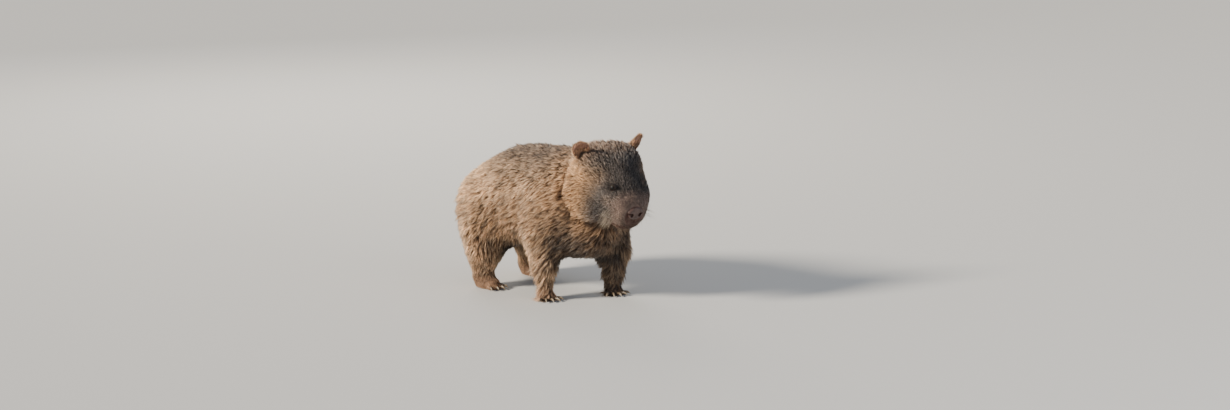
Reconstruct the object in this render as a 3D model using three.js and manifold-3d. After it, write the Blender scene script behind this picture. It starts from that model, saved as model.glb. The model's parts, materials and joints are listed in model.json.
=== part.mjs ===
// A life-size standing wombat, caught in a slow step: a still model of a bare-nosed wombat.
// Millimetres, +Z up, the animal's nose towards +X and its left side towards +Y.
// The origin is on the floor, under the middle of the animal.
//
// Every form is first described as a field: a function of a point that is negative inside the
// body and positive outside. Masses such as the rump or a cheek are ellipsoids and tapered limbs,
// and they melt into each other. Rings of rays then leave an axis inside the body, and each ray
// stops on the surface, which gives a closed mesh of even rings. The torso has no single axis, so
// its mesh comes from a grid of cells instead. Thin cuts part the animal into its named pieces.
import * as THREE from 'three';
import { mergeVertices } from 'three/addons/utils/BufferGeometryUtils.js';
import Module from 'manifold-3d';

const wasm = await Module();
wasm.setup();

// Driving dimensions
const BACK_HEIGHT = 353; // floor to the top of the back, over the coat
const BELLY_HEIGHT = 96;
const BODY_WIDTH = 256;
const RUMP_X = -258;
const HEAD_CENTRE = new THREE.Vector3(250, -10, 297);
const HEAD_PITCH = 24; // degrees, nose down
const HEAD_TURN = -6; // degrees, towards the animal's right
const EYE_RADIUS = 10;
const SEAM = 0.3; // the gap that touching pieces keep
const SHORTEST_EDGE = 0.12;

const BODY_MIDDLE = (BACK_HEIGHT + BELLY_HEIGHT) / 2;
const BODY_HALF = (BACK_HEIGHT - BELLY_HEIGHT) / 2;
const SIDE = BODY_WIDTH / 2;
const radians = THREE.MathUtils.degToRad;
const v3 = (x, y, z) => new THREE.Vector3(x, y, z);

// Fields

// About the distance from p to an ellipsoid with its centre at c and the half axes r.
function ellipsoid(c, r) {
  return (p) => {
    const x = (p.x - c[0]) / r[0];
    const y = (p.y - c[1]) / r[1];
    const z = (p.z - c[2]) / r[2];
    const k = Math.hypot(x, y, z);
    const steep = Math.hypot(x / r[0], y / r[1], z / r[2]);
    return steep < 1e-9 ? -Math.min(...r) : (k * (k - 1)) / steep;
  };
}

// A round limb from a to b, which tapers from the radius ra to rb.
function limb(a, b, ra, rb) {
  const ab = [b[0] - a[0], b[1] - a[1], b[2] - a[2]];
  const square = ab[0] ** 2 + ab[1] ** 2 + ab[2] ** 2;
  return (p) => {
    const x = p.x - a[0];
    const y = p.y - a[1];
    const z = p.z - a[2];
    const along = (x * ab[0] + y * ab[1] + z * ab[2]) / square;
    const t = THREE.MathUtils.clamp(along, 0, 1);
    return Math.hypot(x - t * ab[0], y - t * ab[1], z - t * ab[2]) - (ra + t * (rb - ra));
  };
}

// Melts fields into one, with a fillet about k wide where they meet.
function melt(k, ...fields) {
  return (p) => {
    let d = fields[0](p);
    for (let i = 1; i < fields.length; i++) {
      const other = fields[i](p);
      const h = Math.max(k - Math.abs(d - other), 0) / k;
      d = Math.min(d, other) - (h * h * k) / 4;
    }
    return d;
  };
}

// A field described in a turned frame, such as the head's.
function placed(matrix, field) {
  const back = matrix.clone().invert();
  const q = new THREE.Vector3();
  return (p) => field(q.copy(p).applyMatrix4(back));
}

const grown = (field, by) => (p) => field(p) - by;
const clipped = (field, ...clips) => (p) => Math.max(field(p), ...clips.map((clip) => clip(p)));
const mirrored = (c) => [c[0], -c[1], c[2]];

// Meshes

// Where a ray from inside leaves the field.
function leaves(field, from, way, most = 420) {
  const p = new THREE.Vector3();
  const at = (r) => field(p.copy(from).addScaledVector(way, r));
  const step = 4;
  let r = 0;
  while (r < most && at(r) <= 0) r += step;
  let low = Math.max(r - step, 0);
  let high = r;
  for (let i = 0; i < 18; i++) {
    const middle = (low + high) / 2;
    if (at(middle) <= 0) low = middle;
    else high = middle;
  }
  return from.clone().addScaledVector(way, Math.max(low, 0.5));
}

// A closed mesh on the surface of a field. axis is a curve inside it; ends says how many rows of
// rays fan out over each end, and 0 leaves that end flat. The first side faces up.
function wrap(field, axis, { rows, sides, ends = [4, 4], up = v3(0, 0, 1) }) {
  const rings = [];
  const frame = (t) => {
    const along = axis.getTangentAt(t);
    const across = new THREE.Vector3().crossVectors(up, along).normalize();
    const over = new THREE.Vector3().crossVectors(along, across);
    return { at: axis.getPointAt(t), along, across, over };
  };
  const ring = ({ at, along, across, over }, tilt) => {
    const points = [];
    for (let i = 0; i < sides; i++) {
      const a = (i / sides) * Math.PI * 2;
      const way = new THREE.Vector3()
        .addScaledVector(over, Math.cos(a) * Math.cos(tilt))
        .addScaledVector(across, Math.sin(a) * Math.cos(tilt))
        .addScaledVector(along, Math.sin(tilt));
      points.push(leaves(field, at, way));
    }
    return points;
  };
  const pole = ({ at, along }, sign) => leaves(field, at, along.clone().multiplyScalar(sign));
  const first = frame(0);
  const last = frame(1);
  const start = ends[0] ? pole(first, -1) : first.at;
  const finish = ends[1] ? pole(last, 1) : last.at;
  for (let i = 1; i < ends[0]; i++) rings.push(ring(first, -(Math.PI / 2) * (1 - i / ends[0])));
  for (let i = 0; i <= rows; i++) rings.push(ring(frame(i / rows), 0));
  for (let i = 1; i < ends[1]; i++) rings.push(ring(last, (Math.PI / 2) * (i / ends[1])));
  return skinned(rings, start, finish);
}

// A closed mesh on the surface of a field inside a box, from a grid of cells. Each cell that the
// surface crosses holds one point of it, and the four cells around a crossed edge share a square.
function netted(field, low, high, cell) {
  const count = low.map((value, k) => Math.ceil((high[k] - value) / cell) + 1);
  const step = [count[1] * count[2], count[2], 1];
  const at = (n) => v3(...low.map((value, k) => value + cell * (Math.floor(n / step[k]) % count[k])));
  const total = count[0] * step[0];
  const values = Float32Array.from({ length: total }, (_, n) => field(at(n)));
  const inner = (n) => step.every((s, k) => Math.floor(n / s) % count[k] < count[k] - 1);
  const points = [];
  const pointOf = new Map();
  for (let n = 0; n < total; n++) {
    if (!inner(n)) continue;
    const sum = v3(0, 0, 0);
    let crossings = 0;
    for (let corner = 0; corner < 8; corner++)
      for (let k = 0; k < 3; k++) {
        if (corner & (1 << k)) continue;
        const a = n + step.reduce((to, s, axis) => to + (corner & (1 << axis) ? s : 0), 0);
        const b = a + step[k];
        if (values[a] < 0 === values[b] < 0) continue;
        sum.add(at(a).lerp(at(b), values[a] / (values[a] - values[b])));
        crossings++;
      }
    if (!crossings) continue;
    pointOf.set(n, points.length);
    points.push(settled(field, sum.divideScalar(crossings)));
  }
  const index = [];
  for (let n = 0; n < total; n++)
    for (let k = 0; k < 3; k++) {
      const far = n + step[k];
      if (far >= total || values[n] < 0 === values[far] < 0) continue;
      const [u, v] = [step[(k + 1) % 3], step[(k + 2) % 3]];
      const square = [n, n - u, n - u - v, n - v].map((cellAt) => pointOf.get(cellAt));
      if (values[n] > 0) square.reverse();
      const [a, b, c, d] = square;
      if (points[a].distanceTo(points[c]) < points[b].distanceTo(points[d]))
        index.push(a, b, c, a, c, d);
      else index.push(b, c, d, b, d, a);
    }
  const geometry = new THREE.BufferGeometry().setFromPoints(points);
  geometry.setIndex(index);
  return solid(geometry);
}

// A point near the surface of a field, moved onto it.
function settled(field, p) {
  const e = 0.5;
  for (let i = 0; i < 3; i++) {
    const slope = v3(
      field(v3(p.x + e, p.y, p.z)) - field(v3(p.x - e, p.y, p.z)),
      field(v3(p.x, p.y + e, p.z)) - field(v3(p.x, p.y - e, p.z)),
      field(v3(p.x, p.y, p.z + e)) - field(v3(p.x, p.y, p.z - e)),
    ).divideScalar(2 * e);
    p.addScaledVector(slope, -field(p) / Math.max(slope.lengthSq(), 0.25));
  }
  return p;
}

// Joins rings of points into a closed mesh with a point at each end.
function skinned(rings, start, finish) {
  const sides = rings[0].length;
  const points = [start, ...rings.flat(), finish];
  const end = points.length - 1;
  const index = [];
  const at = (ring, side) => 1 + ring * sides + (side % sides);
  for (let s = 0; s < sides; s++) {
    index.push(0, at(0, s + 1), at(0, s));
    for (let r = 0; r + 1 < rings.length; r++) {
      index.push(at(r, s), at(r, s + 1), at(r + 1, s));
      index.push(at(r, s + 1), at(r + 1, s + 1), at(r + 1, s));
    }
    index.push(end, at(rings.length - 1, s), at(rings.length - 1, s + 1));
  }
  const geometry = new THREE.BufferGeometry().setFromPoints(points);
  geometry.setIndex(index);
  return solid(geometry);
}

// A three.js geometry as a solid that can be joined and cut.
function solid(geometry, matrix = new THREE.Matrix4()) {
  const bare = geometry.clone().applyMatrix4(matrix);
  bare.deleteAttribute('normal');
  bare.deleteAttribute('uv');
  const merged = mergeVertices(bare, 1e-4);
  const triVerts = new Uint32Array(merged.index.array);
  const make = () =>
    new wasm.Manifold(
      new wasm.Mesh({
        numProp: 3,
        vertProperties: new Float32Array(merged.attributes.position.array),
        triVerts,
      }),
    );
  const made = make();
  if (made.volume() > 0) return made;
  for (let i = 0; i < triVerts.length; i += 3)
    [triVerts[i + 1], triVerts[i + 2]] = [triVerts[i + 2], triVerts[i + 1]];
  return make();
}

const joined = (first, ...rest) => rest.reduce((whole, piece) => whole.add(piece), first);
const without = (first, ...rest) => rest.reduce((whole, piece) => whole.subtract(piece), first);

// The largest closed body of a solid, without the scraps of a cut or a hollow that a join sealed.
function largest(made) {
  return made.decompose().reduce((best, body) => (body.volume() > best.volume() ? body : best));
}

// The body mass: trunk, neck, head and legs, which are one surface

const trunk = melt(
  34,
  ellipsoid([RUMP_X + 138, 0, 199], [138, SIDE - 10, 97]),
  ellipsoid([4, 0, BODY_MIDDLE], [196, SIDE - 6, BODY_HALF]),
  ellipsoid([104, 0, 230], [116, SIDE - 12, 126]),
  ellipsoid([158, 0, 190], [92, 88, 88]),
  ...[1, -1].flatMap((side) => [
    ellipsoid([RUMP_X + 129, side * 70, 158], [83, 53, 86]),
    ellipsoid([122 + side * 26, side * 72, 174], [58, 48, 80]),
  ]),
);
const neck = limb([120, 0, 244], [214, -6, 282], 102, 84);

const headFrame = new THREE.Matrix4()
  .makeRotationFromEuler(new THREE.Euler(0, radians(HEAD_PITCH), radians(HEAD_TURN), 'ZYX'))
  .setPosition(HEAD_CENTRE);
const onHead = (x, y, z) => v3(x, y, z).applyMatrix4(headFrame);
const SIDES = [['right', -1], ['left', 1]];

const head = placed(
  headFrame,
  melt(
    24,
    ellipsoid([-34, 0, 12], [84, 80, 66]),
    limb([6, 0, 27], [77, 0, 0], 50, 35),
    ellipsoid([80, 0, -22], [33, 34, 31]),
    ellipsoid([46, 0, -44], [58, 44, 30]),
    ellipsoid([90, 0, -51], [22, 20, 13]),
    ...[1, -1].flatMap((side) => [
      ellipsoid([-32, side * 50, 42], [52, 36, 38]),
      ellipsoid([-2, side * 54, -20], [72, 40, 64]),
      ellipsoid([56, side * 36, 4], [48, 28, 34]),
      ellipsoid([88, side * 22, -29], [26, 23, 22]),
    ]),
  ),
);

// The legs. joints are [x, z, radius] from inside the trunk down to the ankle, and paw is the
// middle [x, z] and the half sizes of the paw.
const LEGS = {
  foreleg_right: {
    y: -82,
    joints: [[88, 150, 42], [97, 78, 31], [102, 24, 18]],
    paw: [[106, 9], [23, 21, 17]],
    toes: { reach: 26, width: 6.6, fan: [-58, -36, -14, 8, 30], claw: 17 },
  },
  foreleg_left: {
    y: 80,
    joints: [[140, 152, 50], [160, 104, 42], [162, 54, 27], [158, 22, 18]],
    paw: [[162, 9], [23, 21, 17]],
    toes: { reach: 26, width: 6.6, fan: [-54, -32, -10, 12, 34], claw: 17 },
  },
  hindleg_right: {
    y: -92,
    joints: [[-118, 138, 52], [-110, 90, 43], [-116, 36, 27]],
    paw: [[-98, 10], [38, 24, 22]],
    toes: { reach: 43, width: 7.2, fan: [-26, -9, 8, 25], claw: 12 },
  },
  hindleg_left: {
    y: 90,
    joints: [[-134, 138, 52], [-148, 90, 43], [-158, 36, 27]],
    paw: [[-140, 10], [38, 24, 22]],
    toes: { reach: 43, width: 7.2, fan: [-26, -9, 8, 25], claw: 12 },
  },
};
const LEG_TOP = 88; // floor to the cut between a leg and the trunk

function legField({ y, joints, paw: [[x, z], sizes] }) {
  const parts = [];
  for (let i = 0; i + 1 < joints.length; i++) {
    const [top, low] = [joints[i], joints[i + 1]];
    parts.push(limb([top[0], y, top[1]], [low[0], y, low[1]], top[2], low[2]));
  }
  return melt(14, ...parts, ellipsoid([x, y, z], sizes));
}

const legFields = Object.values(LEGS).map(legField);
const whole = melt(24, melt(22, melt(44, trunk, neck), head), ...legFields);

// The planes that part the trunk, neck and head
const plane = (at, way) => ({ at, way: way.normalize() });
const nape = plane(v3(170, 0, 262), v3(0.86, 0, 0.5));
const skullBase = plane(v3(204, -5, 282), v3(0.86, -0.06, 0.5));
const past = ({ at, way }) => (p) =>
  (p.x - at.x) * way.x + (p.y - at.y) * way.y + (p.z - at.z) * way.z;
const spare = 26; // how far a mesh runs past the cut that trims it
const frontOf = (cut) => (p) => -past(cut)(p) - spare;
const behind = (cut) => (p) => past(cut)(p) - spare;
const keepFront = (made, { at, way }) => made.trimByPlane(way.toArray(), at.dot(way) + SEAM / 2);
const keepBehind = (made, { at, way }) =>
  made.trimByPlane(way.clone().negate().toArray(), -at.dot(way) + SEAM / 2);

const line = (...points) => new THREE.CatmullRomCurve3(points, false, 'centripetal');
const along = ({ at, way }, by) => at.clone().addScaledVector(way, by);

const legTops = (p) => LEG_TOP - spare - p.z;
const TORSO_CELL = 16.5;
const torsoBox = [[-275, -150, LEG_TOP - 40], [290, 150, 400]];
let torso = netted(clipped(whole, behind(nape), legTops), ...torsoBox, TORSO_CELL);
torso = keepBehind(torso, nape).trimByPlane([0, 0, 1], LEG_TOP + SEAM / 2);

let neckPiece = wrap(
  clipped(whole, frontOf(nape), behind(skullBase)),
  line(along(nape, -20), nape.at, skullBase.at, along(skullBase, 20)),
  { rows: 6, sides: 36, ends: [0, 0] },
);
neckPiece = keepBehind(keepFront(neckPiece, nape), skullBase);

const headAxis = line(onHead(-14, 0, 2), onHead(34, 0, -4), onHead(84, 0, -14));
const headSkin = (by) =>
  keepFront(
    wrap(grown(clipped(whole, frontOf(skullBase)), by), headAxis, { rows: 15, sides: 40, ends: [7, 6] }),
    skullBase,
  );
let headPiece = headSkin(0);
const headSeam = headSkin(SEAM);

// Small forms

// A frame at a point with its x axis along one way and its z axis nearly along another.
function frameAt(at, x, z) {
  const side = new THREE.Vector3().crossVectors(z, x).normalize();
  const up = new THREE.Vector3().crossVectors(x, side).normalize();
  return new THREE.Matrix4().makeBasis(x.clone().normalize(), side, up).setPosition(at);
}

// A closed loft along the x axis of a frame. Each row is [x, z of its middle, half width, half
// height]; the first and last rows are points.
function loft(frame, rows, sides = 10) {
  const rings = rows.slice(1, -1).map(([x, z, wide, tall]) =>
    Array.from({ length: sides }, (_, i) => {
      const a = (i / sides) * Math.PI * 2;
      return v3(x, wide * Math.sin(a), z + tall * Math.cos(a)).applyMatrix4(frame);
    }),
  );
  const tip = ([x, z]) => v3(x, 0, z).applyMatrix4(frame);
  return skinned(rings, tip(rows[0]), tip(rows[rows.length - 1]));
}

// An egg with half sizes r, at a place in a frame.
function egg(frame, at, r, detail = 12) {
  const place = new THREE.Matrix4().makeTranslation(...at).scale(v3(...r));
  const ball = new THREE.SphereGeometry(1, Math.round(detail * 1.5), detail);
  return solid(ball, frame.clone().multiply(place));
}

// A groove tool: a round bead that follows points on the skin and tapers at both ends.
function bead(points, radius, sides = 6) {
  const path = line(...points);
  const count = points.length * 2;
  const rings = [];
  for (let i = 1; i < count; i++) {
    const t = i / count;
    const frame = frameAt(path.getPointAt(t), path.getTangentAt(t), v3(0, 0, 1));
    const r = radius * Math.min(1, 4 * Math.sin(Math.PI * t));
    rings.push(
      Array.from({ length: sides }, (_, s) => {
        const a = (s / sides) * Math.PI * 2;
        return v3(0, r * Math.sin(a), r * Math.cos(a)).applyMatrix4(frame);
      }),
    );
  }
  return skinned(rings, points[0], points[points.length - 1]);
}

// Legs

const SOLE = [0, 0, 1];
const ankle = ({ y, paw: [[x]] }, z) => v3(x - 4, y, z);

function toeFrames({ y, paw: [[x]], toes: { reach, fan } }) {
  return fan.map((degrees) => {
    const turn = radians(degrees);
    const way = v3(Math.cos(turn), Math.sin(turn), 0);
    const root = v3(x - 8, y, 0);
    const spread = reach * (1 - 0.1 * Math.abs(Math.sin(turn * 2)));
    return frameAt(root.addScaledVector(way, spread), way, v3(0, 0, 1));
  });
}

function leg(spec, field, by = 0) {
  const [knee] = spec.joints.slice(-2);
  const axis = line(
    v3(spec.joints[0][0], spec.y, LEG_TOP + 24),
    v3(knee[0], spec.y, Math.min(knee[1], LEG_TOP - 8)),
    ankle(spec, 22),
    ankle(spec, 0),
  );
  const near = grown(field, 40);
  const body = wrap(grown(clipped(whole, near), by), axis, {
    rows: 12,
    sides: 20,
    ends: [0, 0],
    up: v3(1, 0, 0),
  });
  const { width } = spec.toes;
  const toes = toeFrames(spec).map((frame) =>
    egg(frame, [-4, 0, width - 1], [14 + by, width + 0.4 + by, width + 1 + by], 6),
  );
  return joined(body, ...toes)
    .trimByPlane(SOLE, 0)
    .trimByPlane([0, 0, -1], -LEG_TOP + SEAM / 2);
}

const legs = {};
const claws = {};
Object.entries(LEGS).forEach(([name, spec], n) => {
  legs[name] = leg(spec, legFields[n]);
  const seam = leg(spec, legFields[n], SEAM);
  const { width, claw: reach } = spec.toes;
  const rows = [
    [-4, 0],
    [-3, 0, 2.5, 3],
    [reach * 0.3, 1, 2.7, 3.4],
    [reach * 0.62, 0, 2.1, 2.7],
    [reach * 0.86, -2.6, 1.2, 1.5],
    [reach, -5.4],
  ];
  toeFrames(spec).forEach((frame, i) => {
    const root = frame.clone().multiply(new THREE.Matrix4().makeTranslation(9, 0, width));
    claws[name.replace(/leg_/, 'claw_') + '_' + (i + 1)] = loft(root, rows, 7).subtract(seam);
  });
});

// Ears: a leaf that stands up from the side of the head, with a hollow cup towards the front
const EAR_LEAF = [
  [-12, 0],
  [-10, 0, 12, 9],
  [2, 0, 15.5, 10],
  [13, 0, 19.5, 9],
  [23, 0.5, 20.5, 7.5],
  [32, 1.5, 17.5, 6],
  [38, 2.5, 12.5, 4.5],
  [41.5, 3, 6, 2.5],
  [43, 3],
];
const EAR_WALL = 3;
const earCup = EAR_LEAF.slice(2).map(([x, z, wide, tall]) =>
  wide ? [x - 1.5, z + 6, Math.max(wide - EAR_WALL, 1.5), tall] : [x - 2, z + 6],
);
earCup.unshift([-3, 6]);
const ears = SIDES.map(([, side]) => {
  const rise = v3(-0.1, side * 0.3, 0.95).transformDirection(headFrame);
  const facing = v3(0.9, side * 0.45, 0).transformDirection(headFrame);
  const frame = frameAt(onHead(-38, side * 74, 58), rise, facing);
  return without(loft(frame, EAR_LEAF, 18), loft(frame, earCup, 18), headSeam);
});

// Eyes, each in a socket with a lid above and below
const EYE_LOOK = [0.46, 0.84, 0.26];
const eyes = SIDES.map(([, side]) => {
  const look = v3(EYE_LOOK[0], side * EYE_LOOK[1], EYE_LOOK[2]).transformDirection(headFrame);
  const inside = onHead(52, side * 20, 26);
  const skin = leaves(whole, inside, onHead(68, side * 46, 34).sub(inside).normalize());
  const at = skin.addScaledVector(look, -EYE_RADIUS * 0.78);
  const frame = frameAt(at, look, v3(0.2, 0, 1).transformDirection(headFrame));
  const ball = (r) => egg(frame, [0, 0, 0], [r, r, r], 11);
  const lids = ball(EYE_RADIUS + 1.7);
  const opening = egg(frame, [EYE_RADIUS, 0, 0.5], [9, 9, 6.4], 9);
  headPiece = joined(headPiece, lids).subtract(ball(EYE_RADIUS + SEAM)).subtract(opening);
  return ball(EYE_RADIUS);
});

// Nose pad with its two nostrils: an oval of bare leather that lies over the front of the muzzle
const NOSE_RISE = 3.2;
const noseOval = placed(headFrame, ellipsoid([104, 0, -13], [27, 25, 17.5]));
let nose = wrap(
  clipped(grown(whole, NOSE_RISE), noseOval),
  line(onHead(92, 0, -14), onHead(102, 0, -14)),
  { rows: 2, sides: 30, ends: [4, 8] },
);
for (const [, side] of SIDES) {
  const nostril = egg(headFrame, [122, side * 11, -15], [9, 4.2, 5], 8);
  const slit = egg(headFrame, [118, side * 16, -12], [9, 5, 2.2], 7);
  nose = without(nose, nostril, slit);
}
nose = nose.subtract(headSeam);

// The mouth: a line that runs back under the muzzle from the cleft of the upper lip
const lip = (x, y, z) => {
  const inside = onHead(60, 0, -34);
  return leaves(whole, inside, onHead(x, y, z).sub(inside).normalize());
};
const mouthHalf = [[116, 0, -43], [108, 14, -45], [94, 25, -46], [78, 34, -44]];
const mouth = [...mouthHalf.slice(1).map(mirrored).reverse(), ...mouthHalf].map((at) => lip(...at));
const cleft = [[120, 0, -31], [118, 0, -37], [116, 0, -43]].map((at) => lip(...at));
headPiece = without(headPiece, bead(mouth, 2, 5), bead(cleft, 1.6, 5));

// A stub of a tail under the rump
const tailFrame = frameAt(v3(RUMP_X + 22, 0, 176), v3(-0.8, 0, -0.6), v3(-0.6, 0, 0.8));
const tail = loft(tailFrame, [[-14, 0], [-12, 0, 14, 11], [6, 0, 14, 11], [20, 0, 9, 8], [30, 0]], 14)
  .subtract(torso);

// The edges that cuts leave too short to matter are closed up, and the mesh stays closed: an edge
// goes only where its two ends share no more than two neighbours.
function withoutShortEdges(points, triVerts) {
  const around = points.map(() => new Set());
  const faces = [];
  for (let i = 0; i < triVerts.length; i += 3) {
    const face = [...triVerts.slice(i, i + 3)];
    faces.push(face);
    for (const v of face) around[v].add(face);
  }
  const nearby = (v) => new Set([...around[v]].flat());
  for (const face of faces)
    for (let k = 0; k < 3 && face.length; k++) {
      const [a, b] = [face[k], face[(k + 1) % 3]];
      if (points[a].distanceTo(points[b]) > SHORTEST_EDGE) continue;
      const nearA = nearby(a);
      if ([...nearby(b)].filter((v) => nearA.has(v)).length !== 4) continue;
      for (const other of [...around[b]]) {
        around[b].delete(other);
        if (other.includes(a)) {
          for (const v of other) around[v].delete(other);
          other.length = 0;
        } else {
          other[other.indexOf(b)] = a;
          around[a].add(other);
        }
      }
    }
  return faces.flat();
}

// The exported model
const model = new THREE.Group();
function show(name, made, material) {
  const { numProp, vertProperties, triVerts } = largest(made).getMesh();
  const points = [];
  for (let i = 0; i < vertProperties.length; i += numProp)
    points.push(v3(...vertProperties.subarray(i, i + 3)));
  const indexed = new THREE.BufferGeometry().setFromPoints(points);
  indexed.setIndex(withoutShortEdges(points, triVerts));
  const geometry = mergeVertices(indexed);
  geometry.computeVertexNormals();
  const mesh = new THREE.Mesh(geometry, material);
  mesh.name = name;
  model.add(mesh);
  return mesh;
}

const coat = new THREE.MeshStandardMaterial({ color: 0x7a6048, roughness: 0.95 });
const horn = new THREE.MeshStandardMaterial({ color: 0x8d8375, roughness: 0.5 });
const leather = new THREE.MeshStandardMaterial({ color: 0x4a302c, roughness: 0.6 });
const glossy = new THREE.MeshStandardMaterial({ color: 0x0d0a08, roughness: 0.1 });
show('torso', torso, coat);
show('neck', neckPiece, coat);
show('head', headPiece, coat);
SIDES.forEach(([name], i) => show('ear_' + name, ears[i], coat));
SIDES.forEach(([name], i) => show('eye_' + name, eyes[i], glossy));
show('nose', nose, leather);
show('tail', tail, coat);
for (const [name, made] of Object.entries(legs)) show(name, made, coat);
for (const [name, made] of Object.entries(claws)) show(name, made, horn);

// The origin sits under the middle of the animal's box
const middle = new THREE.Box3().setFromObject(model).getCenter(v3(0, 0, 0));
for (const mesh of model.children) mesh.geometry.translate(-middle.x, -middle.y, 0);

export default model;
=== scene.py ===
# %% [markdown]
# # A standing wombat, life size
# The animal is a still model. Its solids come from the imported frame, in metres, with the nose
# towards +X, the left side towards +Y and the floor at z = 0. This script dresses them: one skin
# under the coat, the coat itself as many small tufts of mesh, and the eyes, nose, ears and claws.

# %% Load the frame and keep its box
import json
import math

import bmesh
import bpy
import numpy as np
from mathutils import Matrix, Vector
from mathutils.bvhtree import BVHTree

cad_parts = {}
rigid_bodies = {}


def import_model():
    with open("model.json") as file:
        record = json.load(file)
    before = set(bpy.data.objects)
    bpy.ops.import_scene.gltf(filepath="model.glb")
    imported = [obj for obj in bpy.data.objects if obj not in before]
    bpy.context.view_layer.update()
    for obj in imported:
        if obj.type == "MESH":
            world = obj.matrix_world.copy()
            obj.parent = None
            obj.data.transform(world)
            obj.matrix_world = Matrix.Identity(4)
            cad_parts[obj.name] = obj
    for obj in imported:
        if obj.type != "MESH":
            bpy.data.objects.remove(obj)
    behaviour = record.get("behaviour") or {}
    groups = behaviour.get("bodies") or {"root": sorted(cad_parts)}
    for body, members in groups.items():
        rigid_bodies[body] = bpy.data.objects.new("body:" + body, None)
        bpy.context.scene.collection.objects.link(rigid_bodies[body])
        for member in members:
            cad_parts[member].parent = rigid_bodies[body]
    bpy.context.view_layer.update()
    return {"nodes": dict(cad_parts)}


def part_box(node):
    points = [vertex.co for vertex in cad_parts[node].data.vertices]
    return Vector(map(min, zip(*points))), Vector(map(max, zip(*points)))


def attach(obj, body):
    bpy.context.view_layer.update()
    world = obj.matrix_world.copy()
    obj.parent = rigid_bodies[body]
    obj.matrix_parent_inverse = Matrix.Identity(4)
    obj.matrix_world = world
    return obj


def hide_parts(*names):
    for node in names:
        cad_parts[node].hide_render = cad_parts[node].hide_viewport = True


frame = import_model()
MM = 0.001
BODY_SHIFT = np.array([49.42, -0.92, 0.0]) * MM  # from the part's origin to the body's own origin

# %% [markdown]
# ## Camera, floor and light
# The photo was taken from a long way off with a long lens, from 48 degrees round the animal's
# front and 11 degrees above the ground. A long lens at 14 metres gives the same flat look.

# %% Camera
AZIMUTH, ELEVATION = math.radians(48), math.radians(11)
DISTANCE = 14.0
SENSOR_WIDTH = 36
FRAME_WIDTH = 2.952  # metres across the picture at the animal
AIM = (0.140, 0.208)  # the middle of the picture, to the right of the origin and above it

right = Vector((math.cos(AZIMUTH), math.sin(AZIMUTH), 0))
back = Vector((math.sin(AZIMUTH) * math.cos(ELEVATION), -math.cos(AZIMUTH) * math.cos(ELEVATION),
               math.sin(ELEVATION)))
up = back.cross(right)
camera = bpy.data.objects.new("camera", bpy.data.cameras.new("camera"))
bpy.context.collection.objects.link(camera)
camera.data.sensor_width = SENSOR_WIDTH
camera.data.lens = SENSOR_WIDTH * DISTANCE / FRAME_WIDTH
camera.location = right * AIM[0] + up * AIM[1] + back * DISTANCE
camera.rotation_mode = "QUATERNION"
camera.rotation_quaternion = back.to_track_quat("Z", "Y")
camera.data.clip_end = 200
bpy.context.scene.camera = camera
print("a lens of", round(camera.data.lens), "mm")

# %% [markdown]
# Every material and every Geometry Nodes tree in this script is built from nodes. A few helpers
# add a node and feed its sockets, so that each tree reads as a list of steps.

# %% Helpers for node trees
def socket(sockets, name):
    """The socket in use with this name or number."""
    if isinstance(name, int):
        return sockets[name]
    return next(s for s in sockets if s.name == name and s.enabled)


def feed(tree, fed, value):
    """Gives a socket a value, or a link from another socket."""
    if isinstance(value, bpy.types.NodeSocket):
        tree.links.new(value, fed)
    else:
        fed.default_value = value


def add(tree, kind, inputs=(), **settings):
    """Adds a node, sets it up, and feeds its inputs."""
    made = tree.nodes.new(kind)
    for name, value in settings.items():
        setattr(made, name, value)
    for name, value in dict(inputs).items():
        feed(tree, socket(made.inputs, name), value)
    return made


def out(made, name=0):
    return socket(made.outputs, name)


def math_node(tree, operation, a, b=0.0):
    """One step of arithmetic."""
    return out(add(tree, "ShaderNodeMath", {0: a, 1: b}, operation=operation))


def plus(tree, a, b):
    return math_node(tree, "ADD", a, b)


def times(tree, first, *others):
    """The product of two or more numbers."""
    for other in others:
        first = math_node(tree, "MULTIPLY", first, other)
    return first


def vector_math(tree, operation, a, b=(0, 0, 0), **inputs):
    return out(add(tree, "ShaderNodeVectorMath", {0: a, 1: b, **inputs}, operation=operation))


def scaled(tree, vector, share):
    """A vector or a colour, times a number."""
    return vector_math(tree, "SCALE", vector, Scale=share)


def combined(tree, x, y, z=0.0):
    return out(add(tree, "ShaderNodeCombineXYZ", {"X": x, "Y": y, "Z": z}))


def carried(tree, value, new, old=(0.0, 1.0)):
    """Carries a number over to a new range from an old one."""
    return out(add(tree, "ShaderNodeMapRange", {"Value": value, "From Min": old[0], "From Max": old[1],
                                                "To Min": new[0], "To Max": new[1]}))


def noise(tree, scale, detail, vector=None, output="Fac"):
    """Soft noise. Without a vector it lies over the points of the geometry."""
    placed = {} if vector is None else {"Vector": vector}
    return out(add(tree, "ShaderNodeTexNoise", {"Scale": scale, "Detail": detail, **placed}), output)


def new_group(kind, name, inputs, outputs):
    """A tree or a group of nodes with named sockets."""
    group = bpy.data.node_groups.new(name, kind)
    for way, sockets in (("OUTPUT", outputs), ("INPUT", inputs)):
        for socket_name, sort in sockets.items():
            group.interface.new_socket(socket_name, in_out=way, socket_type="NodeSocket" + sort)
    return group, add(group, "NodeGroupInput"), add(group, "NodeGroupOutput")


def new_material(name, **values):
    """A material with a Principled shader, whose plain values are set on its own sockets."""
    material = bpy.data.materials.new(name)
    material.use_nodes = True
    shader = material.node_tree.nodes["Principled BSDF"]
    for socket_name, value in values.items():
        shader.inputs[socket_name.replace("_", " ").title().replace("Ior", "IOR")].default_value = value
    return material, material.node_tree, shader


# %% [markdown]
# The animal stands in low sun from its right. One broad, warm sun lamp gives the same side and
# the same long shadow on a plain pale floor, and two soft panels and a pale sky fill the rest, so
# that the dark side still shows its form.

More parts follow.
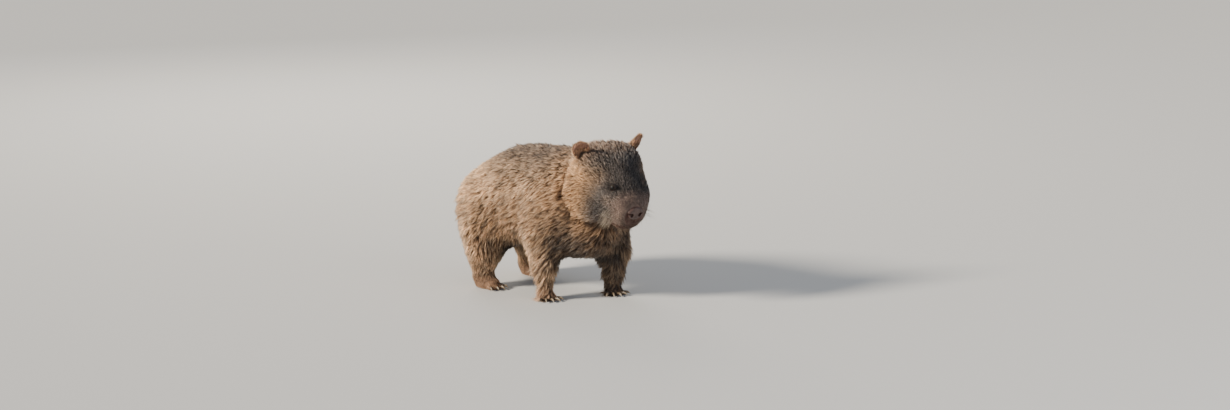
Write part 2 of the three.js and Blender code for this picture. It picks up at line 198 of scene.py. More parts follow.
# %% Floor and light
def new_object(name, mesh):
    made = bpy.data.objects.new(name, mesh)
    bpy.context.collection.objects.link(made)
    return made


def area_light(name, place, aim, size, power, color):
    """A soft square light that faces a point."""
    light = bpy.data.lights.new(name, "AREA")
    light.size, light.energy, light.color = size, power, color
    made = new_object(name, light)
    made.location = place
    made.rotation_mode = "QUATERNION"
    made.rotation_quaternion = (Vector(place) - Vector(aim)).to_track_quat("Z", "Y")


FLOOR_SIZE = 60.0
SKY_COLOR, SKY_STRENGTH = (0.62, 0.68, 0.78, 1), 0.5
SUN_STRENGTH, SUN_COLOR, SUN_ANGLE = 7.6, (1.0, 0.90, 0.76), math.radians(12)

bpy.ops.mesh.primitive_plane_add(size=FLOOR_SIZE)
floor = bpy.context.object
floor.name = "floor"
floor_material = new_material("floor", roughness=0.9, base_color=(0.56, 0.56, 0.55, 1))[0]
floor.data.materials.append(floor_material)

world = bpy.data.worlds.new("world")
bpy.context.scene.world = world
world.use_nodes = True
sky = world.node_tree.nodes["Background"]
sky.inputs["Color"].default_value = SKY_COLOR
sky.inputs["Strength"].default_value = SKY_STRENGTH

chest = Vector((0.05, 0, 0.22))
area_light("fill", chest + right * 2.4 + back * 2.2 + up * 1.0, chest, 2.5, 24, (0.80, 0.88, 1.0))
area_light("rim", chest - right * 0.8 - back * 2.6 + up * 2.0, chest, 1.6, 45, (1.0, 0.92, 0.8))

key = bpy.data.lights.new("key", "SUN")
key.energy, key.color, key.angle = SUN_STRENGTH, SUN_COLOR, SUN_ANGLE
key_lamp = new_object("key", key)
key_lamp.rotation_mode = "QUATERNION"
key_lamp.rotation_quaternion = (-right * 2.6 + back * 1.35 + up * 1.15).to_track_quat("Z", "Y")
print(len(bpy.data.lights), "lamps and a pale sky")

# %% [markdown]
# ## The skin
# One skin covers the trunk, neck, head, legs and tail, so that no seam shows. It could be
# sculpted by hand, but a copy of those solids that is remeshed with small cells keeps their
# shape and melts the cuts between them. Each point then sinks inwards by the depth that the coat
# has there, and the coat grows back out to the solids.

# %% Where a point lies on the body
HEAD_CENTRE = np.array([250, -10, 297]) * MM - BODY_SHIFT
HEAD_PITCH, HEAD_TURN = math.radians(24), math.radians(-6)
HEAD_FRAME = np.array(Matrix.Rotation(HEAD_TURN, 3, "Z") @ Matrix.Rotation(HEAD_PITCH, 3, "Y"))
NOSE = np.array([126, 0, -14]) * MM  # in the head's frame
NOSE_LEATHER = (118, 0, -20), (19, 26, 25)  # middle and size of its bare skin, in mm
COAT_DEPTH = {"body": 13.0, "shin": 5.0, "foot": 1.2, "cheek": 8.0, "brow": 3.4, "muzzle": 2.0}  # mm


def in_head(points):
    """Points in the head's frame: forward, left and up, from the middle of the skull."""
    return (points - HEAD_CENTRE) @ HEAD_FRAME


def from_head(points):
    return np.asarray(points) @ HEAD_FRAME.T + HEAD_CENTRE


def ramp(value, low, high):
    """0 at low and 1 at high, with soft ends. low may be the larger."""
    t = np.clip((value - low) / (high - low), 0, 1)
    return t * t * (3 - 2 * t)


def mix(a, b, share):
    return a + (b - a) * share


def mirrored(points):
    """Both sides of the head on one side, because its two halves are alike."""
    return points * np.where(points[:, 1:2] < 0, [1, -1, 1], [1, 1, 1])


def bare_nose(half):
    """Under 1 on the bare leather round the nose, down to the mouth."""
    middle, size = NOSE_LEATHER
    return np.linalg.norm((half / MM - middle) / size, axis=1)


def coat_depth(points):
    """How far the tips of the coat stand off the skin, in metres."""
    height, head, deep = points[:, 2], in_head(points), COAT_DEPTH
    depth = mix(deep["shin"], deep["body"], ramp(height, 0.045, 0.15))
    depth = mix(deep["foot"], depth, ramp(height, 0.012, 0.045))
    on_head = ramp(head[:, 0], -0.075, -0.01)
    face = mix(deep["cheek"], deep["brow"], ramp(head[:, 0], -0.02, 0.06))
    face = mix(face, deep["muzzle"], ramp(head[:, 0], 0.075, 0.11))
    face *= mix(0.1, 1.0, ramp(bare_nose(mirrored(head)), 0.8, 1.2))
    return mix(depth, face, on_head) * MM


print("the middle of the head is at", HEAD_CENTRE.round(3))

# %% [markdown]
# A remesh keeps only what is larger than its cells. So the faces of the feet are split once
# more, and after the smoothing the feet and the muzzle are drawn back to the solids.

# %% Make the skin
FLESH = ["torso", "neck", "head", "tail",
         "foreleg_right", "foreleg_left", "hindleg_right", "hindleg_left"]
SKIN_CELL = 4.5 * MM
OVERLAP = 0.3 * MM  # the solids grow by their seams' width, so that the remesh closes them
FOOT_TOP = 24 * MM
SINK_STEPS = 3


def copied(nodes, grow=0.0):
    """One mesh of the named solids, with shared points merged."""
    joined = bmesh.new()
    for name in nodes:
        joined.from_mesh(frame["nodes"][name].data)
    bmesh.ops.remove_doubles(joined, verts=joined.verts, dist=1e-6)
    joined.normal_update()
    if grow:
        for vert in joined.verts:
            vert.co += vert.normal * grow
    mesh = bpy.data.meshes.new("copied")
    joined.to_mesh(mesh)
    joined.free()
    return mesh


def with_modifier(obj, kind, **settings):
    """Applies one modifier to an object."""
    modifier = obj.modifiers.new(kind.title(), kind)
    for name, value in settings.items():
        setattr(modifier, name, value)
    graph = bpy.context.evaluated_depsgraph_get()
    mesh = bpy.data.meshes.new_from_object(obj.evaluated_get(graph))
    obj.modifiers.remove(modifier)
    obj.data = mesh
    return obj


def smoothed(obj, iterations, factor=0.5):
    return with_modifier(obj, "SMOOTH", factor=factor, iterations=iterations)


def values_of(items, name, width=3):
    """A number, or a vector, for each point or face of a mesh."""
    values = np.empty(len(items) * width, np.float32)
    items.foreach_get(name, values)
    return values.reshape(-1, width).astype(float)


def points_of(mesh):
    return values_of(mesh.vertices, "co")


def normals_of(mesh):
    return values_of(mesh.vertices, "normal")


def set_points(mesh, points):
    mesh.vertices.foreach_set("co", points.astype(np.float32).ravel())
    mesh.update()


def keep_largest(mesh):
    """Removes the scraps that a remesh leaves inside."""
    edges = np.empty(len(mesh.edges) * 2, np.int32)
    mesh.edges.foreach_get("vertices", edges)
    a, b = edges.reshape(-1, 2).T
    label = np.arange(len(mesh.vertices))
    while True:
        low = np.minimum(label[a], label[b])
        before = label.copy()
        np.minimum.at(label, a, low)
        np.minimum.at(label, b, low)
        label = label[label]
        if (label == before).all():
            break
    kept = np.bincount(label).argmax()
    cut = bmesh.new()
    cut.from_mesh(mesh)
    cut.verts.ensure_lookup_table()
    scraps = [cut.verts[i] for i in np.flatnonzero(label != kept)]
    bmesh.ops.delete(cut, geom=scraps, context="VERTS")
    cut.to_mesh(mesh)
    cut.free()


def split_faces(obj, chosen):
    """Splits the faces whose middles are chosen into four."""
    cut = bmesh.new()
    cut.from_mesh(obj.data)
    centres = np.array([face.calc_center_median() for face in cut.faces])
    wanted = chosen(centres)
    edges = {edge for face, take in zip(cut.faces, wanted) if take for edge in face.edges}
    bmesh.ops.subdivide_edges(cut, edges=list(edges), cuts=1, use_grid_fill=True)
    cut.to_mesh(obj.data)
    cut.free()


def fine_form(points):
    """1 on the feet and the muzzle, whose small forms a smoothing would lose, and 0 elsewhere."""
    return np.maximum(ramp(points[:, 2], 0.045, 0.028), ramp(in_head(points)[:, 0], 0.06, 0.10))


def drawn_to(points, surface, share):
    """Moves points towards the nearest place on a surface, by a share of the way."""
    moved = points.copy()
    for number in np.flatnonzero(share):
        near = surface.find_nearest(Vector(points[number]))[0]
        moved[number] = mix(points[number], np.array(near), share[number])
    return moved


skin = new_object("skin", copied(FLESH, OVERLAP))
solids = BVHTree.FromPolygons([v.co for v in skin.data.vertices],
                              [f.vertices for f in skin.data.polygons])
with_modifier(skin, "REMESH", mode="VOXEL", voxel_size=SKIN_CELL)
keep_largest(skin.data)
split_faces(skin, lambda centres: centres[:, 2] < FOOT_TOP)
smoothed(skin, 6)
smooth = points_of(skin.data)
set_points(skin.data, drawn_to(smooth, solids, fine_form(smooth)))
smoothed(skin, 1)
outline = points_of(skin.data)  # the tips of the coat
for _ in range(SINK_STEPS):
    inward = normals_of(skin.data) * (coat_depth(outline) / SINK_STEPS)[:, None]
    set_points(skin.data, points_of(skin.data) - inward)
    smoothed(skin, 1)
print("skin", len(skin.data.vertices), "points")

# %% [markdown]
# The remesh leaves the face plain. Its faces are split once from the eyes forward and once more
# on the muzzle, where the hair is short, and the points then move in and out: sockets and brows
# round the eyes, cheekbones, the pads that carry the whiskers, the line of the mouth with its
# lips, and the cleft under the nose.

# %% Model the face
MOUTH = np.array([[116, 0, -43], [108, 14, -45], [94, 25, -46], [78, 34, -43]]) * MM
CLEFT = np.array([[121, 0, -30], [118, 0, -37], [116, 0, -43]]) * MM
RUFF = np.array([[-70, 80, 34], [-52, 82, -8], [-36, 80, -40], [0, 62, -76], [36, 36, -80],
                 [60, 0, -78]]) * MM  # the edge of the cheek's long hair, from the ear to the chin
FACE_FORMS = (  # middle, size, and height in or out, all in mm in the head's frame
    ((67, 45, 33), (15, 15, 13), -2.2),  # socket
    ((62, 38, 50), (15, 13, 8), 2.6),  # brow
    ((86, 31, 20), (13, 8, 9), -1.6),  # hollow in front of the eye
    ((58, 58, 10), (19, 12, 11), 2.2),  # cheekbone
    ((97, 25, -24), (14, 9, 12), 2.4),  # whisker pad
    ((92, 0, 22), (22, 9, 12), 1.0),  # bridge of the nose
    ((117, 11, -15), (9, 4.5, 5), -4.5),  # the dark inside of a nostril
)
MOUTH_HEIGHT = -44  # mm in the head's frame; the lips above it are fuller
MOUTH_DEPTH, LIP_FULLNESS, CLEFT_DEPTH, RUFF_STEP = 3.4, 1.3, 2.2, 6.0  # mm
FACE_START, MUZZLE_START = 0.028, 0.098  # where the faces are split


def to_curve(points, curve):
    """The distance of each point from a line of straight pieces, and where along it that is."""
    best, place = np.full(len(points), 9.0), np.zeros(len(points))
    for number, (a, b) in enumerate(zip(curve[:-1], curve[1:])):
        t = np.clip((points - a) @ (b - a) / ((b - a) @ (b - a)), 0, 1)
        distance = np.linalg.norm(points - a - t[:, None] * (b - a), axis=1)
        nearer = distance < best
        best[nearer], place[nearer] = distance[nearer], number + t[nearer]
    return best, place


def behind_ruff(head):
    """How far a point lies behind or below the edge of the ruff, in metres."""
    flat = mirrored(head) * [1, 0, 1]
    curve = RUFF * [1, 0, 1]
    distance, place = to_curve(flat, curve)
    number = np.minimum(place.astype(int), len(curve) - 2)
    way = curve[number + 1] - curve[number]
    offset = flat - curve[number]
    side = way[:, 0] * offset[:, 2] - way[:, 2] * offset[:, 0]
    return np.where(side < 0, distance, -distance)


def face_relief(points):
    """How far the modelled forms stand out of the plain face, in metres."""
    half = mirrored(in_head(points))
    relief = np.zeros(len(points))
    for middle, size, height in FACE_FORMS:
        offset = (half / MM - middle) / size
        relief += height * np.exp(-(offset ** 2).sum(axis=1))
    mouth = to_curve(half, MOUTH)[0] / MM
    below = half[:, 2] / MM - MOUTH_HEIGHT
    relief -= MOUTH_DEPTH * np.exp(-(mouth / 2.2) ** 2)
    relief += LIP_FULLNESS * np.exp(-((mouth - 5) / 3) ** 2) * (1 + 0.5 * np.sign(-below))
    relief -= CLEFT_DEPTH * np.exp(-(to_curve(half, CLEFT)[0] / MM / 2.0) ** 2)
    behind = behind_ruff(in_head(points)) / MM
    relief -= RUFF_STEP * np.exp(-((behind - 13) / 11) ** 2) * ramp(half[:, 0], -0.11, -0.07)
    return relief * MM


split_faces(skin, lambda centres: in_head(centres)[:, 0] > FACE_START)
split_faces(skin, lambda centres: in_head(centres) @ [1, 0, -0.3] > MUZZLE_START)
smoothed(skin, 2, factor=0.4)
plain = points_of(skin.data)
set_points(skin.data, plain + normals_of(skin.data) * face_relief(plain)[:, None])
skin.data.shade_smooth()
print("skin with its face", len(skin.data.vertices), "points")

# %% [markdown]
# The coat needs to know, at each point of the skin, which way the hair lies, how long it is, how
# far it stands out and how densely it grows. These are worked out once for every point and kept
# on the skin as attributes, so that one tree of nodes can grow all of the coat from them.

# %% The lie of the coat
EYE = np.array([68, 46, 34]) * MM  # the left eye in the head's frame; the right one is its mirror
TAIL = np.mean(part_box("tail"), axis=0)
HAIR = {"body": 24.0, "leg": 14.0, "foot": 6.5, "more on the rump": 5.0, "tail": 9.0, "cheek": 15.0,
        "brow": 8.5, "ruff": 27.0, "muzzle": 5.0}  # mm
TUFTS_ON_BODY = 45e3  # on a square metre, where the hair is as long as on the body


def unit(vectors):
    return vectors / np.maximum(np.linalg.norm(vectors, axis=-1, keepdims=True), 1e-9)


def coat_lie(points):
    """The way the hair points, before it is laid along the skin."""
    height, side = points[:, 2], np.sign(points[:, 1])
    x = points[:, 0] + BODY_SHIFT[0]
    trunk = np.stack([np.full_like(x, -0.8), 0.1 * side, np.full_like(x, -0.75)], axis=1)
    lie = mix(trunk, np.array([-0.4, 0, -1.0]), ramp(x, -0.17, -0.25)[:, None])  # the rump
    lie = mix(lie, np.array([-0.25, 0, -1.0]), ramp(height, 0.19, 0.10)[:, None])  # the legs
    lie = mix(lie, np.array([1.0, 0, -0.5]), ramp(height, 0.040, 0.018)[:, None])  # the feet
    head = in_head(points)
    away = unit(head - NOSE)
    away[:, 2] -= 0.15
    cheek = ramp(np.abs(head[:, 1]), 0.035, 0.065) * ramp(head[:, 2], 0.03, -0.02)
    away[:, 2] -= 0.55 * cheek
    on_head = ramp(head[:, 0], -0.085, -0.03)
    return unit(mix(unit(lie), unit(away @ HEAD_FRAME.T), on_head[:, None]))


def hair_length(points):
    """The length of the tufts, in metres."""
    height, head = points[:, 2], in_head(points)
    x = points[:, 0] + BODY_SHIFT[0]
    length = mix(HAIR["leg"], HAIR["body"], ramp(height, 0.05, 0.16))
    length = mix(HAIR["foot"], length, ramp(height, 0.010, 0.045))
    length += (HAIR["more on the rump"] * ramp(x, -0.14, -0.20) * ramp(height, 0.06, 0.10)
               * ramp(height, 0.22, 0.16))
    edge = np.exp(-(np.minimum(behind_ruff(head), 0) / 0.022) ** 2)
    face = mix(HAIR["cheek"], HAIR["brow"], ramp(head[:, 0], -0.03, 0.055))
    face = mix(face, HAIR["ruff"], edge * ramp(head[:, 2], 0.05, 0.0))
    face = mix(face, HAIR["muzzle"], ramp(head[:, 0], 0.075, 0.105))
    face *= mix(0.5, 1.0, ramp(np.linalg.norm(mirrored(head) - EYE, axis=1), 0.008, 0.022))
    length = mix(HAIR["tail"], length, ramp(np.linalg.norm(points - TAIL, axis=1), 0.018, 0.05))
    length = np.minimum(length, 2.5 + 0.45 * height / MM)  # short where it would lie on the floor
    return mix(length, face, ramp(head[:, 0], -0.075, -0.04)) * MM


def hair_cover(points):
    """How many tufts grow on a square metre."""
    length = hair_length(points)
    cover = TUFTS_ON_BODY * (HAIR["body"] * MM / np.maximum(length, 0.0045)) ** 1.3
    half = mirrored(in_head(points))
    cover *= ramp(np.linalg.norm(half - EYE, axis=1), 0.0090, 0.0110)
    cover *= ramp(bare_nose(half), 0.95, 1.15)
    cover *= ramp(to_curve(half, MOUTH)[0], 0.0015, 0.0035)
    cover *= ramp(points[:, 2], 0.001, 0.004)
    return cover


skin_points = points_of(skin.data)
hair = hair_length(skin_points)
print("hair from", round(hair.min() / MM, 1), "to", round(hair.max() / MM, 1), "mm long")

# %% [markdown]
# A wombat is grey-brown, darker along the back, and golden on the cheeks and behind them. Shade
# is painted in as well: the chest, the left foreleg and the belly between the legs are painted dark,
# and the forehead's dark grey is partly its own colour and partly painted shade. A painted picture
# could hold this, but the coat has to take its colour from the place where it grows, so the
# colours too are worked out for each point.

# %% The markings
def srgb(*shown):
    """A colour as it looks on a screen, as linear light."""
    return (np.array(shown) / 255) ** 2.2


# The chest colour is painted shade: it darkens the chest, the left foreleg and the belly between the legs.
MARKINGS = {
    "flank": srgb(188, 158, 126), "back": srgb(84, 71, 62), "leg": srgb(220, 190, 158),
    "foot": srgb(182, 150, 124), "chest": srgb(48, 38, 32), "neck": srgb(190, 152, 114),
    "forehead": srgb(92, 89, 90), "crown": srgb(126, 108, 96), "cheek": srgb(216, 176, 130),
    "under the eye": srgb(172, 152, 136), "muzzle": srgb(160, 142, 134), "jaw": srgb(104, 76, 63),
    "eye ring": srgb(44, 36, 33), "lips": srgb(70, 48, 40),
}
UNDER_EYE = np.array([72, 46, 4]), np.array([16, 16, 12])  # middle and size, in mm


def marked(color, name, share):
    """Mixes a marking in, by a share for each point."""
    return mix(color, MARKINGS[name], share[:, None])


def coat_color(points):
    """The colour of the coat at its middle length."""
    height, head, side = points[:, 2], in_head(points), np.abs(points[:, 1])
    half = mirrored(head)
    ahead, upward = half[:, 0], half[:, 2]
    color = np.tile(MARKINGS["flank"], (len(points), 1))
    color = marked(color, "back", ramp(height, 0.25, 0.34))
    color = marked(color, "leg", ramp(height, 0.20, 0.10))
    color = marked(color, "foot", ramp(height, 0.05, 0.02))
    # Painted shade: the belly between the legs, the chest between the forelegs and the left foreleg take
    # the dark chest colour.
    under = ramp(height, 0.16, 0.10) * ramp(height, 0.06, 0.10) * ramp(side, 0.115, 0.06)
    front = ramp(points[:, 0], 0.05, 0.11) * ramp(height, 0.27, 0.21) * ramp(side, 0.12, 0.09)
    front *= mix(0.7, 1.0, ramp(height, 0.10, 0.16))
    color = marked(color, "chest", np.maximum(under, front))
    behind = behind_ruff(head)
    color = marked(color, "neck", 0.6 * np.exp(-(behind / 0.06) ** 2) * ramp(head[:, 2], 0.05, 0.0))
    # The forehead's dark grey is partly the coat's own colour and partly painted shade.
    face = np.tile(MARKINGS["forehead"], (len(points), 1))
    face = marked(face, "crown", ramp(ahead, 0.015, -0.035))
    face = marked(face, "cheek", ramp(ahead, 0.062, -0.01) * ramp(upward, 0.07, 0.015)
                  * ramp(half[:, 1], 0.02, 0.06))
    offset = (half / MM - UNDER_EYE[0]) / UNDER_EYE[1]
    face = marked(face, "under the eye", 0.75 * np.exp(-(offset ** 2).sum(axis=1)))
    face = marked(face, "muzzle", ramp(ahead, 0.08, 0.105))
    face = marked(face, "jaw", ramp(upward, -0.035, -0.055) * ramp(ahead, 0.05, 0.08))
    ring = np.exp(-(np.linalg.norm(half - EYE, axis=1) / 0.0165) ** 2)
    face = marked(face, "eye ring", 0.9 * ring)
    face = marked(face, "lips", 0.8 * np.exp(-(to_curve(half, MOUTH)[0] / 0.006) ** 2))
    on_head = ramp(behind, 0.03, -0.02) * ramp(head[:, 0], -0.10, -0.05)
    return mix(color, face, on_head[:, None])


def keep(mesh, name, values, domain="POINT"):
    """Keeps one number, or one vector, for each point or face."""
    kind, field = ("FLOAT_VECTOR", "vector") if values.ndim > 1 else ("FLOAT", "value")
    if values.dtype.kind == "i":
        kind = "INT"
    made = mesh.attributes.new(name, kind, domain)
    made.data.foreach_set(field, values.astype(np.int32 if kind == "INT" else np.float32).ravel())


keep(skin.data, "lie", coat_lie(skin_points))
keep(skin.data, "hair", hair)
keep(skin.data, "rise", coat_depth(skin_points))
keep(skin.data, "cover", hair_cover(skin_points))
keep(skin.data, "shade", coat_color(skin_points))
keep(skin.data, "bare", ramp(hair, 0.012, 0.005))
keep(skin.data, "leather", ramp(bare_nose(mirrored(in_head(skin_points))), 1.15, 0.95))
print(len(MARKINGS), "colours are mixed on the skin")

# %% [markdown]
# The coat is too large for one piece, so the skin's faces are numbered from the rump to the nose
# in bands that will carry about as many tufts as each other. The skin is also laid flat on a UV
# map, and each tuft later takes a small patch of it at its own root.

# %% Share the skin out between pieces of coat
COAT_PIECES = 8
centres = values_of(skin.data.polygons, "center")
areas = values_of(skin.data.polygons, "area", 1)[:, 0]
tufts_here = hair_cover(centres) * areas
order = np.argsort(centres[:, 0])
share = np.empty(len(order))
share[order] = np.cumsum(tufts_here[order]) / tufts_here.sum()
band = np.minimum((share * COAT_PIECES).astype(np.int32), COAT_PIECES - 1)
keep(skin.data, "band", band, "FACE")
print("skin area", round(areas.sum(), 4), "m2, tufts", int(tufts_here.sum()))

# %% Unwrap the skin
BAKE_MAP = "OFBake"


def unwrap(obj):
    """Lays the piece's own shape flat on a UV map."""
    bpy.ops.object.select_all(action="DESELECT")
    obj.select_set(True)
    bpy.context.view_layer.objects.active = obj
    for layer in list(obj.data.uv_layers):
        obj.data.uv_layers.remove(layer)
    obj.data.uv_layers.new(name=BAKE_MAP)
    bpy.ops.object.mode_set(mode="EDIT")
    bpy.ops.mesh.select_all(action="SELECT")
    bpy.ops.uv.smart_project(angle_limit=math.radians(60), island_margin=0.002)
    bpy.ops.object.mode_set(mode="OBJECT")
    print(obj.name, "is laid flat in", len(obj.data.polygons), "faces")


unwrap(skin)

# %% [markdown]
# ## Tufts
# A wombat's coat is coarse and parts into small tufts. Each tuft here is a few tapered hairs
# with three sides that start apart and draw together towards their tips. Five of them, one unit
# long, are enough: each place on the skin takes one at random and stretches it to its own size.

# %% Make the tufts to choose from
TUFT_KINDS = 5
HAIRS = 4
RINGS = ((-0.06, -0.10, 0.8), (0.38, 0.66, 1.0))  # along, rise and thickness of each ring of a hair


def tuft_mesh(name, random):
    """A tuft along +X that rises to 1 at its tip, one unit wide at its root."""
    verts, faces, tips, strands = [], [], [], []
    for hair in range(HAIRS):
        start = (random.uniform(-0.16, 0.16), (hair + 0.5) / HAIRS - 0.5 + random.uniform(-0.08, 0.08))
        length, rise = random.uniform(0.72, 1.0), random.uniform(0.7, 1.05)
        bend, thick = random.uniform(-0.25, 0.25), random.uniform(0.085, 0.13)
        first = len(verts)
        for along, up_share, girth in RINGS:
            middle = np.array([start[0] + along * length,
                               start[1] * (1 - 0.35 * along) + bend * along ** 2, up_share * rise])
            for corner in range(3):
                angle = math.radians(90 + 120 * corner)
                verts.append(middle + [0, thick * girth * math.cos(angle), 0.10 * girth * math.sin(angle)])
                tips.append(max(along, 0))
        verts.append(np.array([start[0] + length, start[1] * 0.45 + bend, rise]))
        tips.append(1.0)
        strands += [random.uniform(0, 1)] * 7
        for corner in range(3):
            a, b = first + corner, first + (corner + 1) % 3
            faces += [(a, b, b + 3, a + 3), (a + 3, b + 3, first + 6)]
        faces.append((first, first + 2, first + 1))
    mesh = bpy.data.meshes.new(name)
    mesh.from_pydata([tuple(v) for v in verts], [], faces)
    keep(mesh, "tip", np.array(tips))
    keep(mesh, "strand", np.array(strands))
    keep(mesh, "side", np.array([v[1] for v in verts]))
    mesh.shade_smooth()
    return mesh


tufts = bpy.data.collections.new("tufts")
bpy.context.scene.collection.children.link(tufts)
chance = np.random.default_rng(4)
for kind in range(TUFT_KINDS):
    tufts.objects.link(bpy.data.objects.new(f"tuft_{kind}", tuft_mesh(f"tuft_{kind}", chance)))

# %% [markdown]
# A particle system could grow this coat, but its hairs are no mesh. So a tree of nodes scatters
# points over one band of the skin, turns each towards the lie of the hair, and lets the lie
# drift from place to place, so that no two patches look combed alike.

# %% The coat's tree: where tufts grow and which way they point
def attribute(tree, name, kind="FLOAT"):
    return out(add(tree, "GeometryNodeInputNamedAttribute", {"Name": name}, data_type=kind), "Attribute")


def random_value(tree, low, high, seed, number):
    seed = plus(tree, seed, number)
    return out(add(tree, "FunctionNodeRandomValue", {"Min": low, "Max": high, "Seed": seed}), "Value")


def swirl(tree, scale, strength):
    """A vector that drifts from place to place."""
    drift = vector_math(tree, "SUBTRACT", noise(tree, scale, 1.0, output="Color"), (0.5, 0.5, 0.5))
    return scaled(tree, drift, strength)


coat_tree, given, result = new_group("GeometryNodeTree", "coat", {
    "Geometry": "Geometry", "Tufts": "Collection", "Band": "Int", "Spread": "Float", "Tangle": "Float",
    "Clumps": "Float", "Seed": "Int", "Material": "Material"}, {"Geometry": "Geometry"})
tree, seed, tangle = coat_tree, out(given, "Seed"), out(given, "Tangle")
outside = add(tree, "FunctionNodeCompare", {2: attribute(tree, "band", "INT"), 3: out(given, "Band")},
              data_type="INT", operation="NOT_EQUAL")
patch = add(tree, "GeometryNodeDeleteGeometry",
            {"Geometry": out(given, "Geometry"), "Selection": out(outside)}, domain="FACE")
points = add(tree, "GeometryNodeDistributePointsOnFaces",
             {"Mesh": out(patch), "Density": attribute(tree, "cover"), "Seed": seed})
lie = attribute(tree, "lie", "FLOAT_VECTOR")
for scale, strength in ((12, 0.9), (75, 0.7)):
    lie = vector_math(tree, "ADD", lie, swirl(tree, scale, strength))
turn = add(tree, "FunctionNodeAxesToRotation",
           {"Primary Axis": out(points, "Normal"), "Secondary Axis": lie},
           primary_axis="Z", secondary_axis="X")
lean = [times(tree, tangle, random_value(tree, -1.0, 1.0, seed, number)) for number in (1, 2, 3)]
tangled = add(tree, "FunctionNodeEulerToRotation",
              {"Euler": combined(tree, lean[0], times(tree, lean[1], 0.5), lean[2])})
turned = add(tree, "FunctionNodeRotateRotation", {"Rotation": out(turn), "Rotate By": out(tangled)},
             rotation_space="LOCAL")
print("the lie of the coat drifts twice, in", len(tree.nodes), "nodes")

# %% [markdown]
# Long hair gathers into clumps that stand a little higher than the hair between them. They come
# from soft noise that is stretched the way the coat runs, and they fade out where hair is short.
# The same value later paints shade: high clumps lighter, the hair between them darker.

# %% The coat's tree: how large each tuft is
LOOSE_HAIR = 18 * MM  # hair of this length and more gathers into clumps
CLUMP_RUN = tuple(unit(np.array([-0.8, 0.0, -0.6])))  # the clumps run back and down along the flank
CLUMP_STRETCH = 0.62

hair_here, position = attribute(tree, "hair"), out(add(tree, "GeometryNodeInputPosition"))
along = out(add(tree, "ShaderNodeVectorMath", {0: position, 1: CLUMP_RUN}, operation="DOT_PRODUCT"),
            "Value")
drawn = scaled(tree, CLUMP_RUN, times(tree, along, CLUMP_STRETCH))
clump = noise(tree, out(given, "Clumps"), 2.0, vector_math(tree, "SUBTRACT", position, drawn))
clump = carried(tree, clump, (-0.5, 0.5), (0.36, 0.64))
loose = math_node(tree, "MINIMUM", math_node(tree, "DIVIDE", hair_here, LOOSE_HAIR), 1.0)
clump = plus(tree, times(tree, clump, loose), 0.5)
high = plus(tree, times(tree, clump, 0.45), 0.7)
length = times(tree, hair_here, random_value(tree, 0.75, 1.15, seed, 4))
breadth = times(tree, hair_here, out(given, "Spread"))
rise = times(tree, attribute(tree, "rise"), random_value(tree, 0.75, 1.2, seed, 5), high)
size = combined(tree, length, breadth, rise)
print("hair over", round(LOOSE_HAIR / MM), "mm gathers into clumps")

# %% [markdown]
# Each point then takes a tuft. The tufts turn into plain mesh, with a patch of the unwrapped
# skin for each, and hair that would pass through the floor is pressed flat on it.

# %% The coat's tree: place the tufts
PATCH = 0.003  # the size of a tuft on the unwrapped skin
FLOOR_GAP = 0.4 * MM


def stored(tree, geometry, name, value, kind="FLOAT", domain="POINT"):
    """Keeps a value on the geometry inside a tree."""
    return out(add(tree, "GeometryNodeStoreNamedAttribute",
                   {"Geometry": geometry, "Name": name, "Value": value}, data_type=kind, domain=domain))


rooted = stored(tree, out(points, "Points"), "root_uv", attribute(tree, BAKE_MAP, "FLOAT_VECTOR"),
                "FLOAT_VECTOR")
rooted = stored(tree, rooted, "tone", random_value(tree, 0.0, 1.0, seed, 6))
# The clump is kept on each tuft to paint shade: high clumps lighter, the hair between them darker.
rooted = stored(tree, rooted, "clump", clump)
choice = add(tree, "GeometryNodeCollectionInfo",
             {"Collection": out(given, "Tufts"), "Separate Children": True, "Reset Children": True})
placed = add(tree, "GeometryNodeInstanceOnPoints",
             {"Points": rooted, "Instance": out(choice), "Pick Instance": True,
              "Rotation": out(turned), "Scale": size})
real = add(tree, "GeometryNodeRealizeInstances", {"Geometry": out(placed)})
on_patch = scaled(tree, combined(tree, attribute(tree, "tip"), attribute(tree, "side")), PATCH)
on_map = vector_math(tree, "ADD", attribute(tree, "root_uv", "FLOAT_VECTOR"), on_patch)
mapped = stored(tree, out(real), BAKE_MAP, on_map, "FLOAT2", "CORNER")
place = add(tree, "ShaderNodeSeparateXYZ", {"Vector": position})
above = combined(tree, out(place, "X"), out(place, "Y"),
                 math_node(tree, "MAXIMUM", out(place, "Z"), FLOOR_GAP))
cleaned = out(add(tree, "GeometryNodeSetPosition", {"Geometry": mapped, "Position": above}))
for name in ("root_uv", "band", "lie", "hair", "rise", "cover", "side"):
    cleaned = out(add(tree, "GeometryNodeRemoveAttribute", {"Geometry": cleaned, "Name": name}))
finished = add(tree, "GeometryNodeSetMaterial", {"Geometry": cleaned, "Material": out(given, "Material")})
tree.links.new(out(finished), result.inputs[0])


def grow(name, skin_piece, **inputs):
    """Runs the coat's tree over a copy of a piece and keeps the plain mesh that it makes."""
    grown = new_object(name, skin_piece.data)
    modifier = grown.modifiers.new("grow", "NODES")
    modifier.node_group = coat_tree
    for item in coat_tree.interface.items_tree:
        if item.item_type == "SOCKET" and item.in_out == "INPUT" and item.name in inputs:
            modifier[item.identifier] = inputs[item.name]
    graph = bpy.context.evaluated_depsgraph_get()
    mesh = bpy.data.meshes.new_from_object(grown.evaluated_get(graph))
    grown.modifiers.remove(modifier)
    grown.data = mesh
    mesh.name = name
    return grown


print("the coat's tree has", len(coat_tree.nodes), "nodes")

